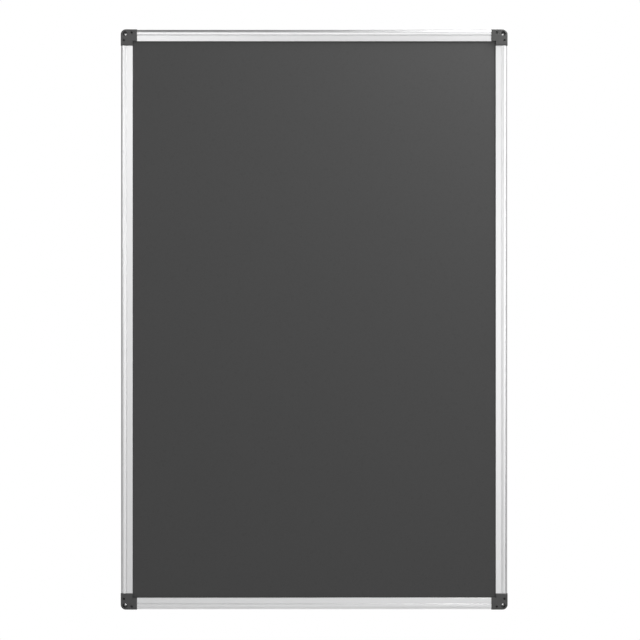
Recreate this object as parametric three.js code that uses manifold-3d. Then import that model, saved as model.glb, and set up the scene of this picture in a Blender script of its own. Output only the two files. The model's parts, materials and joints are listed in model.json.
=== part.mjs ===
// Framed pin board for a classroom wall. A dyed cork composition sheet is bonded to a
// fibreboard core with a paper liner behind it. Four aluminium rails hold that panel in
// their slots and meet in moulded plastic corners, which also take the wall screws.
//
// Millimetres, +Z up. The wall plane is y = 0, the front faces -Y, and the origin lies in
// the wall plane at the middle of the board.
//
// Everything is drawn as seen from the front: x to the right, y up, z forwards from the
// wall. The group at the end stands that drawing up.

import * as THREE from "three";
import { mergeVertices } from "three/addons/utils/BufferGeometryUtils.js";
import Module from "manifold-3d";

// ---------------------------------------------------------------- driving dimensions

const BOARD_W = 600;
const BOARD_H = 900;

const FIT = 0.3; // assembly clearance between neighbouring parts
const BOND = 0.2; // glue line between two layers of the panel

// Rail section: u runs inwards from the outer edge, v forwards from the wall.
const SKIN = 1.2; // wall thickness of the extrusion
const RAIL_W = 18.5; // visible width of the frame
const BOX_W = 10.7; // hollow box beside the panel's edge
const BACK_LIP_W = 15; // reach of the back flange behind the panel
const BEAD_W = 9.2; // rounded outer bead, which ends in a narrow valley
const VALLEY_V = 14.8;
const VALLEY_W = 0.4;
const VALLEY_ROOF_V = 12.8; // where the hollow's roof meets its inner wall
const CROWN_U = 5.2; // the bead's highest line
const CROWN_V = 16.2;
const SHOULDER_V = 11; // where the bead's outer shoulder meets the side
const LIP_EDGE_R = 0.6;
const BACK_EDGE = 0.5;

// Panel layers, from the back to the front
const LINER_T = 0.5;
const CORE_T = 8;
const PIN_SHEET_T = 3.3;

// Corner cap: an L-shaped cover that continues the rails round the corner
const CAP_LEG = 25; // length of each leg from the outer corner
const CAP_FRONT = 16.5;
const CAP_WALL = 1.8; // thickness of its outer sides
const CORNER_R = 8;
const CAP_EDGE_R = 1;

// Corner key: the block under the cap, with a tongue in each rail
const TONGUE_END = 63; // from the outer corner
const TONGUE_TOP = 13;
const TONGUE_TAPER = 4;
const TONGUE_CHAMFER = 1.3;

// Wall screw: a stepped hole through cap and key
const WALL_HOLE_AT = 6.7; // from both outer edges
const WALL_HOLE_R = 1.9;
const WALL_RECESS_R = 3.6;
const WALL_SEAT_V = 11.5;

// Cap screws: two small pan heads sunk in the cap, threaded into the key
const CAP_SCREW_ALONG = 17;
const CAP_SCREW_IN = 4.95;
const CAP_SCREW = { headR: 1.5, headT: 0.9, shankR: 1, length: 7, crossSpan: 1.8, crossDepth: 0.5 };
const CAP_SINK = 1.5; // depth of the pocket for the head
const CAP_SCREW_PLAY = 0.2; // under the head

// Rail screws: countersunk from the back, through the rail into the tongue
const RAIL_SCREW_ALONG = 40;
const RAIL_SCREW_IN = 5.35;
const RAIL_SCREW = { headR: 2.6, shankR: 1.3, length: 8.5, point: 2, crossSpan: 2.8, crossDepth: 0.8 };
const RAIL_SCREW_SINK = 0.1;
const CROSS_SLENDERNESS = 4; // length over width of each bar in a screw's cross recess

// Facets on round work
const BEAD_FACETS = 10;
const CORNER_FACETS = 10;
const HOLE_FACETS = 24;
const SCREW_FACETS = 16;

// ------------------------------------------------------------------ worked-out sizes

const PANEL_EDGE = BOX_W + FIT; // from the board's outer edge
const PANEL_BACK = SKIN + FIT;
const PANEL_FRONT = PANEL_BACK + LINER_T + CORE_T + PIN_SHEET_T + 2 * BOND;
const LIP_V = PANEL_FRONT + FIT; // the frame overhangs the pin sheet from here forwards
const BAND_V = LIP_V + SKIN; // front of the rails' flat inner band
const KEY_TOP = LIP_V - FIT;
const KEY_OUT = CAP_WALL + FIT;
const KEY_IN = BOX_W - FIT;
const PAST = 1; // how far a cut starts outside the face that it opens

// --------------------------------------------------------------------------- solids

const wasm = await Module();
wasm.setup();

function solid(geometry) {
  const bare = new THREE.BufferGeometry().setAttribute("position", geometry.getAttribute("position"));
  bare.setIndex(geometry.index);
  const merged = mergeVertices(bare);
  return new wasm.Manifold(
    new wasm.Mesh({
      numProp: 3,
      vertProperties: merged.getAttribute("position").array,
      triVerts: new Uint32Array(merged.index.array),
    }),
  );
}

function geometryOf(body) {
  const { vertProperties, triVerts } = body.getMesh();
  const geometry = new THREE.BufferGeometry();
  geometry.setAttribute("position", new THREE.BufferAttribute(vertProperties, 3));
  geometry.setIndex(new THREE.BufferAttribute(triVerts, 1));
  geometry.computeVertexNormals();
  return geometry;
}

// A flat outline given thickness between two heights
function slab(shape, low, high, facets = CORNER_FACETS) {
  const options = { depth: high - low, bevelEnabled: false, curveSegments: facets };
  return new THREE.ExtrudeGeometry(shape, options).translate(0, 0, low);
}

function block(from, to) {
  const size = to.map((value, i) => value - from[i]);
  const middle = to.map((value, i) => (value + from[i]) / 2);
  return new THREE.BoxGeometry(...size).translate(...middle);
}

// A round rod along z, centred on (x, y)
function rod(x, y, low, high, radius) {
  return new THREE.CylinderGeometry(radius, radius, high - low, HOLE_FACETS)
    .rotateX(Math.PI / 2)
    .translate(x, y, (low + high) / 2);
}

// --------------------------------------------------------------------------- outlines

// A corner seen from the front: a square from `outer` to `end` with its outer corner
// rounded, or an L if its legs are only as wide as from `outer` to `inner`
function cornerShape(outer, end, radius, inner = end) {
  const shape = new THREE.Shape();
  const centre = outer + radius;
  shape.moveTo(centre, outer);
  shape.lineTo(end, outer);
  if (inner < end) {
    shape.lineTo(end, inner);
    shape.lineTo(inner, inner);
    shape.lineTo(inner, end);
  } else {
    shape.lineTo(end, end);
  }
  shape.lineTo(outer, end);
  shape.lineTo(outer, centre);
  shape.absarc(centre, centre, radius, Math.PI, 1.5 * Math.PI, false);
  return shape;
}

function railSection() {
  const shape = new THREE.Shape();
  const quarter = Math.PI / 2;
  shape.moveTo(BACK_EDGE, 0);
  shape.lineTo(BACK_LIP_W, 0);
  shape.lineTo(BACK_LIP_W, SKIN);
  shape.lineTo(BOX_W, SKIN);
  shape.lineTo(BOX_W, LIP_V);
  shape.lineTo(RAIL_W, LIP_V);
  shape.absarc(RAIL_W - LIP_EDGE_R, BAND_V - LIP_EDGE_R, LIP_EDGE_R, 0, quarter, false);
  shape.lineTo(BEAD_W + 2 * VALLEY_W, BAND_V);
  shape.lineTo(BEAD_W + VALLEY_W, VALLEY_V);
  shape.absellipse(CROWN_U, VALLEY_V, BEAD_W - CROWN_U, CROWN_V - VALLEY_V, 0, quarter, false);
  shape.absellipse(CROWN_U, SHOULDER_V, CROWN_U, CROWN_V - SHOULDER_V, quarter, Math.PI, false);
  shape.lineTo(0, BACK_EDGE);

  // The hollow follows the bead on the inside, and takes the corner keys' tongues.
  const hollow = new THREE.Path();
  const right = BOX_W - SKIN;
  const roof = CROWN_V - SKIN;
  hollow.moveTo(SKIN, SKIN);
  hollow.lineTo(SKIN, SHOULDER_V);
  hollow.absellipse(CROWN_U, SHOULDER_V, CROWN_U - SKIN, roof - SHOULDER_V, Math.PI, quarter, true);
  hollow.absellipse(CROWN_U, VALLEY_ROOF_V, right - CROWN_U, roof - VALLEY_ROOF_V, quarter, 0, true);
  hollow.lineTo(right, SKIN);
  shape.holes.push(hollow);
  return shape;
}

// ------------------------------------------------------------------------------ parts

// Lies along z, with the section in the xy plane. Its front faces +y.
function railGeometry(length) {
  const bar = solid(slab(railSection(), 0, length, BEAD_FACETS));
  // The countersink is a 45 degree cone, and FIT is its clearance square to its face.
  const mouth = RAIL_SCREW.headR + RAIL_SCREW_SINK + FIT * Math.SQRT2;
  const depth = SKIN + FIT;
  const fromEnd = RAIL_SCREW_ALONG - CAP_LEG - FIT;
  const countersinks = [fromEnd, length - fromEnd].map((along) =>
    new THREE.CylinderGeometry(mouth - depth, mouth + PAST, depth + PAST, HOLE_FACETS)
      .translate(RAIL_SCREW_IN, (depth - PAST) / 2, along),
  );
  return geometryOf(countersinks.reduce((body, cone) => body.subtract(solid(cone)), bar));
}

function capGeometry() {
  const outline = cornerShape(0, CAP_LEG, CORNER_R, RAIL_W);
  const bevelled = new THREE.ExtrudeGeometry(outline, {
    depth: CAP_FRONT,
    bevelThickness: CAP_EDGE_R,
    bevelSize: CAP_EDGE_R,
    bevelOffset: -CAP_EDGE_R,
    bevelSegments: 3,
    curveSegments: CORNER_FACETS,
  }).translate(0, 0, -CAP_EDGE_R);
  const far = CAP_LEG + PAST;
  const cuts = [
    block([-PAST, -PAST, -3 * CAP_EDGE_R], [far, far, 0]),
    slab(cornerShape(CAP_WALL, far, CORNER_R - CAP_WALL), -PAST, LIP_V),
    rod(WALL_HOLE_AT, WALL_HOLE_AT, LIP_V - PAST, CAP_FRONT + PAST, WALL_RECESS_R),
  ];
  for (const [x, y] of [[CAP_SCREW_ALONG, CAP_SCREW_IN], [CAP_SCREW_IN, CAP_SCREW_ALONG]]) {
    cuts.push(rod(x, y, LIP_V - PAST, CAP_FRONT, CAP_SCREW.shankR + FIT));
    cuts.push(rod(x, y, CAP_FRONT - CAP_SINK, CAP_FRONT + PAST, CAP_SCREW.headR + FIT));
  }
  return geometryOf(cuts.reduce((body, cut) => body.subtract(solid(cut)), solid(bevelled)));
}

// A bar with a tapered nose, from inside the block to its end: along x, or along y
function tongueGeometry(upright) {
  const side = new THREE.Shape();
  const nose = TONGUE_END - TONGUE_TAPER;
  side.moveTo(CAP_LEG - PAST, PANEL_BACK);
  side.lineTo(nose, PANEL_BACK);
  side.lineTo(TONGUE_END, PANEL_BACK + TONGUE_CHAMFER);
  side.lineTo(TONGUE_END, TONGUE_TOP - TONGUE_CHAMFER);
  side.lineTo(nose, TONGUE_TOP);
  side.lineTo(CAP_LEG - PAST, TONGUE_TOP);
  // The outline is drawn in x and height, so it is turned up and its thickness runs to -y.
  const inner = BOX_W - SKIN - FIT;
  const bar = slab(side, 0, inner - KEY_OUT).rotateX(Math.PI / 2).translate(0, inner, 0);
  return upright ? bar.rotateZ(Math.PI / 2).translate(KEY_OUT + inner, 0, 0) : bar;
}

function keyGeometry() {
  const elbow = solid(slab(cornerShape(KEY_OUT, CAP_LEG, CORNER_R - KEY_OUT, KEY_IN), 0, KEY_TOP));
  const whole = elbow.add(solid(tongueGeometry(false))).add(solid(tongueGeometry(true)));
  const holes = [
    rod(WALL_HOLE_AT, WALL_HOLE_AT, -PAST, KEY_TOP, WALL_HOLE_R),
    rod(WALL_HOLE_AT, WALL_HOLE_AT, WALL_SEAT_V, KEY_TOP + PAST, WALL_RECESS_R),
  ];
  const capPilot = CAP_FRONT - CAP_SINK - CAP_SCREW.length - 2 * FIT;
  const railPilot = RAIL_SCREW.length + RAIL_SCREW.point + FIT;
  for (const turn of [false, true]) {
    const at = (along, inwards) => (turn ? [inwards, along] : [along, inwards]);
    holes.push(rod(...at(CAP_SCREW_ALONG, CAP_SCREW_IN), capPilot, KEY_TOP + PAST, CAP_SCREW.shankR + FIT));
    holes.push(rod(...at(RAIL_SCREW_ALONG, RAIL_SCREW_IN), -PAST, railPilot, RAIL_SCREW.shankR + FIT));
  }
  return geometryOf(holes.reduce((body, hole) => body.subtract(solid(hole)), whole));
}

// A turned profile of [radius, height] points, with a cross recess let into one end
function screwGeometry(profile, { crossSpan, crossDepth }, headTop, outwards) {
  const points = profile.map(([radius, height]) => new THREE.Vector2(radius, height));
  const half = crossSpan / 2;
  const thin = half / CROSS_SLENDERNESS;
  const ends = [headTop - outwards * crossDepth, headTop + outwards * PAST].sort((a, b) => a - b);
  const along = block([-half, ends[0], -thin], [half, ends[1], thin]);
  const across = block([-thin, ends[0], -half], [thin, ends[1], half]);
  const cross = solid(along).add(solid(across));
  return geometryOf(solid(new THREE.LatheGeometry(points, SCREW_FACETS)).subtract(cross));
}

// Pan-head screw along +y, its head on top with its underside at y = 0
function capScrewGeometry() {
  const { headR, headT, shankR, length } = CAP_SCREW;
  const edge = 0.3;
  const profile = [
    [0, -length],
    [shankR / 2, 1 - length],
    [shankR, 2 - length],
    [shankR, 0],
    [headR, 0],
    [headR, headT - edge],
    [headR - edge, headT],
    [0, headT],
  ];
  return screwGeometry(profile, CAP_SCREW, headT, 1);
}

// Countersunk screw along +y, its flat head at y = 0 and its point uppermost
function railScrewGeometry() {
  const { headR, shankR, length, point } = RAIL_SCREW;
  const profile = [
    [0, 0],
    [headR, 0],
    [shankR, headR - shankR],
    [shankR, length],
    [0, length + point],
  ];
  return screwGeometry(profile, RAIL_SCREW, 0, -1);
}

// -------------------------------------------------------------------------- materials

function finish(color, roughness, metalness) {
  return new THREE.MeshStandardMaterial({ color, roughness, metalness });
}

const darkCork = finish(0x4b4b4b, 0.9, 0);
const fibreboard = finish(0x9c7a52, 0.9, 0);
const linerPaper = finish(0x9b9a96, 0.85, 0);
const satinAluminium = finish(0xdedede, 0.35, 1);
const greyPlastic = finish(0x545454, 0.55, 0);
const darkPlastic = finish(0x484848, 0.6, 0);
const blackSteel = finish(0x161616, 0.45, 1);
const zincSteel = finish(0xb9bcc0, 0.35, 1);

// --------------------------------------------------------------------------- assembly

function mesh(name, geometry, material) {
  const made = new THREE.Mesh(geometry, material);
  made.name = name;
  return made;
}

const drawing = new THREE.Group();

// Panel layers, one behind the other
const panelW = BOARD_W - 2 * PANEL_EDGE;
const panelH = BOARD_H - 2 * PANEL_EDGE;
const layers = [
  ["back_liner", LINER_T, linerPaper],
  ["core_board", CORE_T, fibreboard],
  ["pin_sheet", PIN_SHEET_T, darkCork],
];
let layerBack = PANEL_BACK;
for (const [name, thickness, material] of layers) {
  const sheet = mesh(name, new THREE.BoxGeometry(panelW, panelH, thickness), material);
  sheet.position.z = layerBack + thickness / 2;
  drawing.add(sheet);
  layerBack += thickness + BOND;
}

// Rails, each drawn as the left one and turned about the board's middle
const railEnds = 2 * (CAP_LEG + FIT);
const sideRail = railGeometry(BOARD_H - railEnds);
const endRail = railGeometry(BOARD_W - railEnds);
const rails = [
  ["rail_left", sideRail, BOARD_W, BOARD_H],
  ["rail_bottom", endRail, BOARD_H, BOARD_W],
  ["rail_right", sideRail, BOARD_W, BOARD_H],
  ["rail_top", endRail, BOARD_H, BOARD_W],
];
rails.forEach(([name, geometry, across, along], turn) => {
  const rail = mesh(name, geometry, satinAluminium);
  rail.rotation.x = Math.PI / 2;
  rail.position.set(-across / 2, (along - railEnds) / 2, 0);
  const side = new THREE.Group();
  side.rotation.z = (turn * Math.PI) / 2;
  side.add(rail);
  drawing.add(side);
});

// Corners, each drawn as the bottom left one and turned the same way
const cap = capGeometry();
const key = keyGeometry();
const capScrew = capScrewGeometry();
const railScrew = railScrewGeometry();
const corners = [
  ["bottom_left", -1, -1],
  ["bottom_right", 1, -1],
  ["top_right", 1, 1],
  ["top_left", -1, 1],
];
corners.forEach(([place, sideX, sideY], turn) => {
  const corner = new THREE.Group();
  corner.position.set((sideX * BOARD_W) / 2, (sideY * BOARD_H) / 2, 0);
  corner.rotation.z = (turn * Math.PI) / 2;
  corner.add(mesh(`corner_key_${place}`, key, darkPlastic));
  corner.add(mesh(`corner_cap_${place}`, cap, greyPlastic));

  for (const along of ["x", "y"]) {
    const onX = along === "x";
    const leg = onX === (turn % 2 === 0) ? "horizontal" : "vertical";
    const spot = (far, near) => (onX ? [far, near] : [near, far]);

    const small = mesh(`cap_screw_${place}_${leg}`, capScrew, blackSteel);
    small.rotation.x = Math.PI / 2;
    small.position.set(...spot(CAP_SCREW_ALONG, CAP_SCREW_IN), CAP_FRONT - CAP_SINK + CAP_SCREW_PLAY);
    corner.add(small);

    const large = mesh(`rail_screw_${place}_${leg}`, railScrew, zincSteel);
    large.rotation.x = Math.PI / 2;
    large.position.set(...spot(RAIL_SCREW_ALONG, RAIL_SCREW_IN), RAIL_SCREW_SINK);
    corner.add(large);
  }
  drawing.add(corner);
});

const board = new THREE.Group();
drawing.rotation.x = Math.PI / 2;
board.add(drawing);

export default board;
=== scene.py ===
import json
import math

import bmesh
import bpy
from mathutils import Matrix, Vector, noise


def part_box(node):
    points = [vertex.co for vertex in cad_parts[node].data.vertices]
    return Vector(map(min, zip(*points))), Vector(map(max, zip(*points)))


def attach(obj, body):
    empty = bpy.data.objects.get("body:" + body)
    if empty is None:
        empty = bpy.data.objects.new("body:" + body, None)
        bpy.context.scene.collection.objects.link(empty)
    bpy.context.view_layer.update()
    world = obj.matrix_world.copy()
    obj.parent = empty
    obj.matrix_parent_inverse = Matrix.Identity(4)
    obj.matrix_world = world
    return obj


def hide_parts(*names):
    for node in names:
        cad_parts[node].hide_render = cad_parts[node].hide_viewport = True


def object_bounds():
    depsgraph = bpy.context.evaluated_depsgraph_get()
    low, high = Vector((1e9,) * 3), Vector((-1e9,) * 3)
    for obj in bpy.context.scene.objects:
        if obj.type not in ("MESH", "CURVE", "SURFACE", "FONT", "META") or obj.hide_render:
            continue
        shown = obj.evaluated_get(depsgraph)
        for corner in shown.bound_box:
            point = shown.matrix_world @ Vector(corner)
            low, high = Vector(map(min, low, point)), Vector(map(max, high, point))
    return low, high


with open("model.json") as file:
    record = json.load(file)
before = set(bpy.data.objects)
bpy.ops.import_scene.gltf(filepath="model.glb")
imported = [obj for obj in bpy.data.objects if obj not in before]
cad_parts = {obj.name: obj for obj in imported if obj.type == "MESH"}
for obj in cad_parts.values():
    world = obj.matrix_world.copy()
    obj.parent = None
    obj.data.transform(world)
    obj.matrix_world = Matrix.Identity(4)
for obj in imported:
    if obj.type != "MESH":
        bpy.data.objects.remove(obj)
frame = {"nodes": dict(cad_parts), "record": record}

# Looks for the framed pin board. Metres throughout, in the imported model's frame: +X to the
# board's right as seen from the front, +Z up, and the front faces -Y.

CAD_BOX = [list(corner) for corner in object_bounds()]
MM = 0.001

# ------------------------------------------------------------------------------- camera

BOARD_FILLS = 0.9052  # share of the picture's height
BOARD_OFF_CENTRE = (-0.0091, 0.0008)  # to the right and up, as shares of the picture's width
CAMERA_DISTANCE = 2.5  # from the wall plane
OUTLINE_BEHIND_FRONT = 5.5 * MM  # the frame's outer shoulder, which gives the board its outline
SENSOR = 36.0  # camera sensor width in millimetres, as Blender takes it


def aim_camera():
    """Looks at the board square on, from the height of its middle."""
    low, high = (Vector(corner) for corner in CAD_BOX)
    centre = (low + high) / 2
    depth = CAMERA_DISTANCE + low.y + OUTLINE_BEHIND_FRONT
    data = bpy.data.cameras.new("camera")
    data.sensor_width = SENSOR
    data.lens = SENSOR * BOARD_FILLS * depth / (high.z - low.z)
    data.shift_x = -BOARD_OFF_CENTRE[0]
    data.shift_y = -BOARD_OFF_CENTRE[1]
    camera = bpy.data.objects.new("camera", data)
    camera.location = (centre.x, -CAMERA_DISTANCE, centre.z)
    camera.rotation_euler = (math.pi / 2, 0, 0)
    bpy.context.scene.collection.objects.link(camera)
    bpy.context.scene.camera = camera


# -------------------------------------------------------------------------------- stage

FLOOR_BELOW = 0.9  # under the board's lower edge
FLOOR_RADIUS = 3.0  # it ends below the picture, so white is all that is seen behind the board
FLOOR_GLOW = 0.12  # stands in for the light that a whole studio throws on its floor
FLOOR_SEEN_GLOW = 0.45  # the floor looks paler than it lights the board


def make_floor():
    bm = bmesh.new()
    bmesh.ops.create_circle(bm, cap_ends=True, segments=96, radius=FLOOR_RADIUS)
    mesh = bpy.data.meshes.new("floor")
    bm.to_mesh(mesh)
    bm.free()
    floor = bpy.data.objects.new("floor", mesh)
    floor.location.z = CAD_BOX[0][2] - FLOOR_BELOW
    bpy.context.scene.collection.objects.link(floor)
    look = Look("floor")
    look.set("Base Color", (0.92, 0.92, 0.92, 1))
    look.set("Roughness", 0.9)
    look.set("Emission Color", (1, 1, 1, 1))
    seen = look.node("ShaderNodeLightPath").outputs["Is Camera Ray"]
    look.set("Emission Strength", look.spread(seen, FLOOR_GLOW, FLOOR_SEEN_GLOW))
    mesh.materials.append(look.material)


def softbox(name, place, target, size, power):
    data = bpy.data.lights.new(name, "AREA")
    data.shape = "RECTANGLE"
    data.size, data.size_y = size
    data.energy = power
    light = bpy.data.objects.new(name, data)
    light.location = place
    light.rotation_euler = (Vector(target) - Vector(place)).to_track_quat("-Z", "Y").to_euler()
    bpy.context.scene.collection.objects.link(light)


def make_world(even, lobes):
    """White behind the board, lit evenly and by lobes of (direction, tightness, strength)."""
    world = bpy.data.worlds.new("studio")
    world.use_nodes = True
    bpy.context.scene.world = world
    tree = world.node_tree
    tree.nodes.clear()
    place = tree.nodes.new("ShaderNodeTexCoord")

    def math_node(operation, a, b):
        made = tree.nodes.new("ShaderNodeMath")
        made.operation = operation
        for socket, value in zip(made.inputs, (a, b)):
            if isinstance(value, bpy.types.NodeSocket):
                tree.links.new(value, socket)
            else:
                socket.default_value = value
        return made.outputs["Value"]

    total = even
    for direction, tightness, strength in lobes:
        along = tree.nodes.new("ShaderNodeVectorMath")
        along.operation = "DOT_PRODUCT"
        along.inputs[1].default_value = Vector(direction).normalized()
        tree.links.new(place.outputs["Generated"], along.inputs[0])
        facing = math_node("MAXIMUM", along.outputs["Value"], 0.0)
        lobe = math_node("MULTIPLY", math_node("POWER", facing, tightness), strength)
        total = math_node("ADD", lobe, total)
    lit = tree.nodes.new("ShaderNodeBackground")
    tree.links.new(total, lit.inputs["Strength"])
    seen = tree.nodes.new("ShaderNodeBackground")
    seen.inputs["Strength"].default_value = 1.0
    for background in (lit, seen):
        background.inputs["Color"].default_value = (1, 1, 1, 1)
    rays = tree.nodes.new("ShaderNodeLightPath")
    mix = tree.nodes.new("ShaderNodeMixShader")
    tree.links.new(rays.outputs["Is Camera Ray"], mix.inputs["Fac"])
    tree.links.new(lit.outputs["Background"], mix.inputs[1])
    tree.links.new(seen.outputs["Background"], mix.inputs[2])
    out = tree.nodes.new("ShaderNodeOutputWorld")
    tree.links.new(mix.outputs["Shader"], out.inputs["Surface"])


EVEN_LIGHT = 0.08  # from all round
WORLD_LOBES = (  # direction, tightness, strength
    ((0, -1, -0.25), 40, 1.35),
    ((0.2, -1, 0.4), 30, 0.4),
    ((0.35, -1, 0), 40, 1.7),
    ((-0.9, -1, 0), 15, 1.1),
    ((1, 0.4, 0.3), 4, 0.4),
    ((0, 1, -0.4), 0.7, 0.65),
)
SOFTBOXES = (  # name, place, target, size, power
    ("key_above_right", (0.7, -0.15, 1.1), (0.3, 0, 0.3), (0.6, 0.4), 24),
    ("strip_right", (0.9, -0.8, 0.2), (0.1, 0, 0.1), (0.3, 1.0), 2.7),
    ("strip_left", (-0.9, -0.8, 0.45), (-0.1, 0, 0.3), (0.3, 0.6), 1.3),
    ("fill_front", (0.0, -1.2, 0.1), (0, 0, 0.1), (0.9, 0.7), 1),
    ("fill_left", (-0.45, -1.2, 0.6), (0, 0, 0.1), (0.4, 0.4), 0.9),
    ("back", (-0.5, 2.0, 0.9), (0, 0, 0), (1.6, 1.6), 12),
)


# ------------------------------------------------------------------------------- looks


class Look:
    """One material, with short calls for the nodes that the looks share. Sizes are in metres."""

    def __init__(self, name):
        self.material = bpy.data.materials.new(name)
        self.material.use_nodes = True
        self.tree = self.material.node_tree
        self.shader = self.tree.nodes["Principled BSDF"]

    def node(self, kind, **settings):
        made = self.tree.nodes.new(kind)
        for name, value in settings.items():
            setattr(made, name, value)
        return made

    def feed(self, socket, value):
        if isinstance(value, bpy.types.NodeSocket):
            self.tree.links.new(value, socket)
        else:
            socket.default_value = value

    def set(self, name, value):
        self.feed(self.shader.inputs[name], value)

    def place(self, stretch=(1, 1, 1)):
        """The row frame's coordinates, each divided by its stretch."""
        here = self.node("ShaderNodeTexCoord").outputs["Object"]
        scaled = self.node("ShaderNodeVectorMath", operation="DIVIDE")
        self.feed(scaled.inputs[0], here)
        scaled.inputs[1].default_value = stretch
        return scaled.outputs["Vector"]

    def noise(self, size, detail=2.0, rough=0.5, stretch=(1, 1, 1)):
        made = self.node("ShaderNodeTexNoise")
        self.feed(made.inputs["Vector"], self.place(stretch))
        made.inputs["Scale"].default_value = 1 / size
        made.inputs["Detail"].default_value = detail
        made.inputs["Roughness"].default_value = rough
        return made.outputs["Fac"]

    def wander(self, size, reach):
        """Coordinates pushed about by a noise, so that cells come out irregular."""
        push = self.node("ShaderNodeTexNoise")
        self.feed(push.inputs["Vector"], self.place())
        push.inputs["Scale"].default_value = 1 / size
        centred = self.node("ShaderNodeVectorMath", operation="SUBTRACT")
        self.feed(centred.inputs[0], push.outputs["Color"])
        centred.inputs[1].default_value = (0.5, 0.5, 0.5)
        sized = self.node("ShaderNodeVectorMath", operation="SCALE")
        self.feed(sized.inputs[0], centred.outputs["Vector"])
        sized.inputs["Scale"].default_value = reach
        moved = self.node("ShaderNodeVectorMath", operation="ADD")
        self.feed(moved.inputs[0], self.place())
        self.feed(moved.inputs[1], sized.outputs["Vector"])
        return moved.outputs["Vector"]

    def cells(self, size, where):
        """A random value for each cell, and the distance from its middle in cells."""
        made = self.node("ShaderNodeTexVoronoi")
        self.feed(made.inputs["Vector"], where)
        made.inputs["Scale"].default_value = 1 / size
        split = self.node("ShaderNodeSeparateColor")
        self.feed(split.inputs["Color"], made.outputs["Color"])
        return split.outputs["Red"], made.outputs["Distance"]

    def spread(self, value, low, high, start=0.0, end=1.0):
        """The value's range from start to end, laid onto the range from low to high."""
        made = self.node("ShaderNodeMapRange")
        self.feed(made.inputs["Value"], value)
        made.inputs["From Min"].default_value = start
        made.inputs["From Max"].default_value = end
        made.inputs["To Min"].default_value = low
        made.inputs["To Max"].default_value = high
        return made.outputs["Result"]

    def math(self, operation, a, b):
        made = self.node("ShaderNodeMath", operation=operation)
        self.feed(made.inputs[0], a)
        self.feed(made.inputs[1], b)
        return made.outputs["Value"]

    def blend(self, amount, a, b):
        made = self.node("ShaderNodeMix", data_type="RGBA")
        self.feed(made.inputs["Factor"], amount)
        self.feed(made.inputs[6], a)
        self.feed(made.inputs[7], b)
        return made.outputs[2]

    def shade(self, colour, *factors):
        """The colour times each factor."""
        total = factors[0]
        for factor in factors[1:]:
            total = self.math("MULTIPLY", total, factor)
        made = self.node("ShaderNodeVectorMath", operation="SCALE")
        self.feed(made.inputs[0], colour)
        self.feed(made.inputs["Scale"], total)
        return made.outputs["Vector"]

    def edges(self, radius):
        """1 along sharp edges, 0 on flats."""
        rounded = self.node("ShaderNodeBevel", samples=4)
        rounded.inputs["Radius"].default_value = radius
        true = self.node("ShaderNodeNewGeometry").outputs["Normal"]
        facing = self.node("ShaderNodeVectorMath", operation="DOT_PRODUCT")
        self.feed(facing.inputs[0], rounded.outputs["Normal"])
        self.feed(facing.inputs[1], true)
        return self.spread(facing.outputs["Value"], 1.0, 0.0, 0.8, 0.99)

    def relief(self, *layers):
        """Bumps of (height field, depth in metres), one on another."""
        normal = None
        for height, depth in layers:
            bump = self.node("ShaderNodeBump")
            bump.inputs["Distance"].default_value = depth
            self.feed(bump.inputs["Height"], height)
            if normal is not None:
                self.feed(bump.inputs["Normal"], normal)
            normal = bump.outputs["Normal"]
        self.set("Normal", normal)


def grey(value):
    return (value, value, value, 1)


def drawn_out(along, across, length):
    """The stretch that draws a texture out along one axis."""
    return [length if axis == along else across for axis in "XYZ"]


def dyed_cork():
    """Bound cork granules, dyed through, calendered to a smooth matte face."""
    look = Look("dyed_cork")
    tone, from_middle = look.cells(0.9 * MM, look.wander(1.2 * MM, 0.7 * MM))
    granule = look.spread(tone, 0.95, 1.05)
    large = look.cells(2.6 * MM, look.wander(2 * MM, 1.6 * MM))[0]
    fleck = look.spread(large, 0.0, 0.25, 0.93, 0.97)
    grain = look.spread(look.noise(0.3 * MM, 3, 0.6), 0.97, 1.03)
    mottle = look.spread(look.noise(70 * MM, 3), 0.99, 1.01)
    body = look.shade(grey(0.063)[:3], granule, grain, mottle)
    look.set("Base Color", look.blend(fleck, body, grey(0.046)))
    look.set("Roughness", look.spread(look.noise(0.8 * MM, 3), 0.74, 0.9))
    look.set("Specular IOR Level", 0.35)
    look.relief((look.noise(0.45 * MM, 4, 0.65), 0.03 * MM), (from_middle, -0.02 * MM))
    return look.material


def anodised(name, along):
    """Satin anodised aluminium with the faint lengthwise lines of its extrusion."""
    look = Look(name)
    lines = look.noise(1 * MM, 4, 0.6, stretch=drawn_out(along, 0.35, 4000))
    scratch = look.noise(0.4 * MM, 2, 0.5, stretch=drawn_out(along, 0.35, 30))
    cloud = look.noise(45 * MM, 3)
    rub = look.edges(0.35 * MM)
    bare = (0.83, 0.83, 0.835)
    tint = look.shade(bare, look.spread(lines, 0.97, 1.03), look.spread(cloud, 0.985, 1.015))
    look.set("Base Color", look.blend(look.math("MULTIPLY", rub, 0.5), tint, grey(0.93)))
    rough = look.math("ADD", look.spread(lines, 0.36, 0.48), look.spread(cloud, -0.03, 0.03))
    look.set("Roughness", look.math("SUBTRACT", rough, look.math("MULTIPLY", rub, 0.08)))
    look.set("Metallic", 1.0)
    look.relief((lines, 0.004 * MM), (scratch, 0.0015 * MM))
    return look.material


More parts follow.
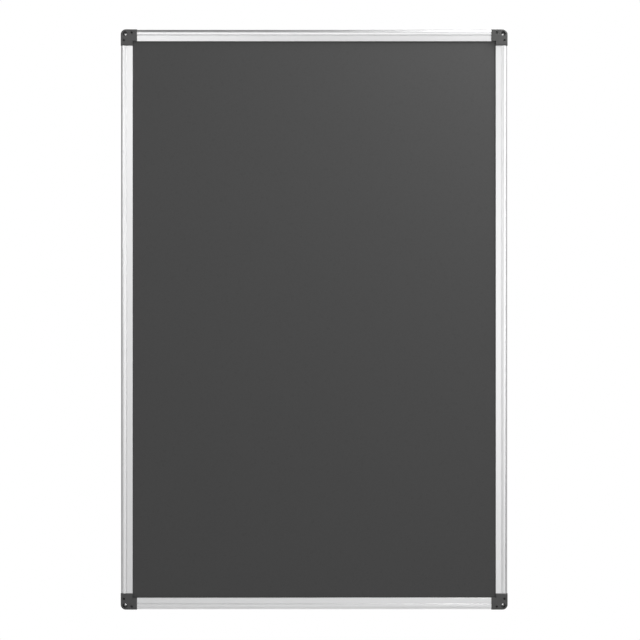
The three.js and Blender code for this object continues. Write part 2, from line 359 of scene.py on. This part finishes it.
def moulded(name, tone, texture, rub_tone):
    """Moulded plastic with a spark-eroded texture, rubbed paler on its edges."""
    look = Look(name)
    pebble = look.noise(texture, 3, 0.6)
    cloud = look.noise(9 * MM, 3)
    rub = look.math("MULTIPLY", look.edges(0.5 * MM), look.spread(look.noise(2 * MM, 4), 0.2, 0.9))
    tint = look.shade(grey(tone)[:3], look.spread(pebble, 0.93, 1.07), look.spread(cloud, 0.97, 1.03))
    look.set("Base Color", look.blend(rub, tint, grey(rub_tone)))
    rough = look.math("ADD", look.spread(cloud, 0.38, 0.46), look.spread(pebble, -0.05, 0.05))
    look.set("Roughness", rough)
    look.relief((pebble, 0.012 * MM))
    return look.material


def black_oxide():
    """Blackened steel, worn to bare metal on the recess and rim."""
    look = Look("black_oxide")
    rub = look.math("MULTIPLY", look.edges(0.12 * MM), look.spread(look.noise(0.4 * MM, 3), 0.0, 0.8))
    tint = look.shade(grey(0.03)[:3], look.spread(look.noise(0.3 * MM, 3), 0.8, 1.3))
    look.set("Base Color", look.blend(rub, tint, grey(0.3)))
    look.set("Roughness", look.spread(look.noise(0.2 * MM, 3), 0.35, 0.55))
    look.set("Metallic", 0.85)
    look.relief((look.noise(0.15 * MM, 2), 0.004 * MM))
    return look.material


def zinc_plate():
    """Bright zinc with a faint uneven passivation tint."""
    look = Look("zinc_plate")
    cloud = look.noise(1.5 * MM, 3)
    bare = look.blend(cloud, (0.62, 0.64, 0.68, 1), (0.68, 0.66, 0.58, 1))
    rub = look.math("MULTIPLY", look.edges(0.15 * MM), 0.6)
    look.set("Base Color", look.blend(rub, bare, grey(0.85)))
    look.set("Roughness", look.spread(look.noise(0.25 * MM, 3), 0.22, 0.42))
    look.set("Metallic", 1.0)
    look.relief((look.noise(0.2 * MM, 3), 0.003 * MM))
    return look.material


def fibreboard():
    """Pressed wood fibre, lying flat in the board's plane."""
    look = Look("fibreboard")
    fibre = look.noise(1 * MM, 4, 0.65, stretch=(1.6, 0.35, 1.2))
    clump = look.noise(6 * MM, 3)
    dark = look.shade((0.26, 0.165, 0.085), look.spread(clump, 0.85, 1.15))
    pale = look.shade((0.44, 0.31, 0.18), look.spread(clump, 0.9, 1.1))
    look.set("Base Color", look.blend(look.spread(fibre, 0, 1, 0.3, 0.7), dark, pale))
    look.set("Roughness", look.spread(fibre, 0.8, 0.95))
    look.relief((fibre, 0.08 * MM))
    return look.material


def liner_paper():
    """Uncoated grey board liner with loose fibres in it."""
    look = Look("liner_paper")
    pulp = look.noise(2.2 * MM, 5, 0.6)
    cloud = look.noise(30 * MM, 4)
    fibre = look.noise(1 * MM, 2, 0.5, stretch=(5, 1, 0.35))
    across = look.noise(1 * MM, 2, 0.5, stretch=(0.35, 1, 5))
    thread = look.spread(look.math("MAXIMUM", fibre, across), 0, 1, 0.66, 0.74)
    grey_pulp = (0.36, 0.345, 0.315)
    sheet = look.shade(grey_pulp, look.spread(pulp, 0.92, 1.08), look.spread(cloud, 0.95, 1.05))
    dark_thread = (0.2, 0.18, 0.15, 1)
    look.set("Base Color", look.blend(look.math("MULTIPLY", thread, 0.45), sheet, dark_thread))
    look.set("Roughness", look.spread(pulp, 0.8, 0.92))
    look.relief((pulp, 0.03 * MM), (thread, 0.01 * MM))
    return look.material


# ------------------------------------------------------------------------------- pieces

WELD = 0.002 * MM  # points closer than this are one
FLUSH = 0.01 * MM  # points this near a face lie in it
FLAT = math.radians(1)  # faces that turn less than this are merged
SHARP = math.radians(32)  # edges that turn more than this are rounded
SMOOTH_BELOW = math.radians(50)
ROUNDING_STEPS = 2


def dress(piece, node, material):
    """Puts a finished piece in a CAD node's place, with its material."""
    piece.data.materials.clear()
    piece.data.materials.append(material)
    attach(piece, "root")
    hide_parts(node)


def cut_in_cells(bm, size):
    """Cuts a sheet that lies in the board's plane into cells."""
    low, high = (Vector(f(v.co[i] for v in bm.verts) for i in range(3)) for f in (min, max))
    for across in (Vector((1, 0, 0)), Vector((0, 0, 1))):
        length = (high - low).dot(across)
        count = round(length / size)
        for step in range(1, count):
            place = low + across * length * step / count
            everything = bm.verts[:] + bm.edges[:] + bm.faces[:]
            bmesh.ops.bisect_plane(bm, geom=everything, plane_co=place, plane_no=across)


def ripple(bm, side, reach, span):
    """Moves the face on one side (-1 front, 1 back) in and out, as a laid sheet's face does."""
    face = max(side * v.co.y for v in bm.verts)
    for v in bm.verts:
        if side * v.co.y > face - FLUSH:
            v.co.y += reach * noise.noise(v.co / span)


def refined(node, edge, cell=None, ripples=None):
    """The CAD node's shape with its seams welded, flats merged and sharp edges rounded."""
    bm = bmesh.new()
    bm.from_mesh(frame["nodes"][node].data)
    bmesh.ops.remove_doubles(bm, verts=bm.verts, dist=WELD)
    bmesh.ops.dissolve_limit(bm, angle_limit=FLAT, verts=bm.verts, edges=bm.edges)
    if cell:
        cut_in_cells(bm, cell)
    sharp = [e for e in bm.edges if e.is_manifold and e.calc_face_angle() > SHARP]
    bmesh.ops.bevel(
        bm,
        geom=sharp,
        offset=edge,
        offset_type="OFFSET",
        segments=ROUNDING_STEPS,
        profile=0.5,
        affect="EDGES",
        clamp_overlap=True,
    )
    bmesh.ops.triangulate(bm, faces=[f for f in bm.faces if len(f.verts) > 4])
    if ripples:
        ripple(bm, *ripples)
    mesh = bpy.data.meshes.new(node + "_fine")
    bm.to_mesh(mesh)
    bm.free()
    mesh.shade_smooth()
    mesh.set_sharp_from_angle(angle=SMOOTH_BELOW)
    piece = bpy.data.objects.new(node + "_fine", mesh)
    bpy.context.scene.collection.objects.link(piece)
    weighted = piece.modifiers.new("flat_faces", "WEIGHTED_NORMAL")
    weighted.keep_sharp = True
    return piece


slot_of = {part["node"]: part["material_slot"] for part in frame["record"]["subparts"]}
looks = {
    "pin_sheet": dyed_cork(),
    "core_board": fibreboard(),
    "back_liner": liner_paper(),
    "corner_caps": moulded("cap_plastic", 0.06, 0.35 * MM, 0.085),
    "corner_keys": moulded("key_plastic", 0.055, 0.3 * MM, 0.08),
    "cap_screws": black_oxide(),
    "rail_screws": zinc_plate(),
}
rail_looks = {along: anodised("anodised_along_" + along.lower(), along) for along in "XZ"}
# How far each slot's sharp edges are rounded
edge_radii = {
    "pin_sheet": 0.25 * MM,
    "core_board": 0.3 * MM,
    "back_liner": 0.08 * MM,
    "rails": 0.15 * MM,
    "corner_caps": 0.2 * MM,
    "corner_keys": 0.2 * MM,
    "cap_screws": 0.06 * MM,
    "rail_screws": 0.08 * MM,
}
# Each rippled sheet's cells, and its ripples' side, reach and span
sheets = {
    "pin_sheet": {"cell": 12 * MM, "ripples": (-1, 0.1 * MM, 90 * MM)},
    "back_liner": {"cell": 9 * MM, "ripples": (1, 0.22 * MM, 55 * MM)},
}
for node, slot in slot_of.items():
    low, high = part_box(node)
    along = "X" if high.x - low.x > high.z - low.z else "Z"
    material = rail_looks[along] if slot == "rails" else looks[slot]
    dress(refined(node, edge_radii[slot], **sheets.get(node, {})), node, material)

aim_camera()
make_world(EVEN_LIGHT, WORLD_LOBES)
make_floor()
for box in SOFTBOXES:
    softbox(*box)
bpy.context.scene.view_settings.view_transform = "Standard"
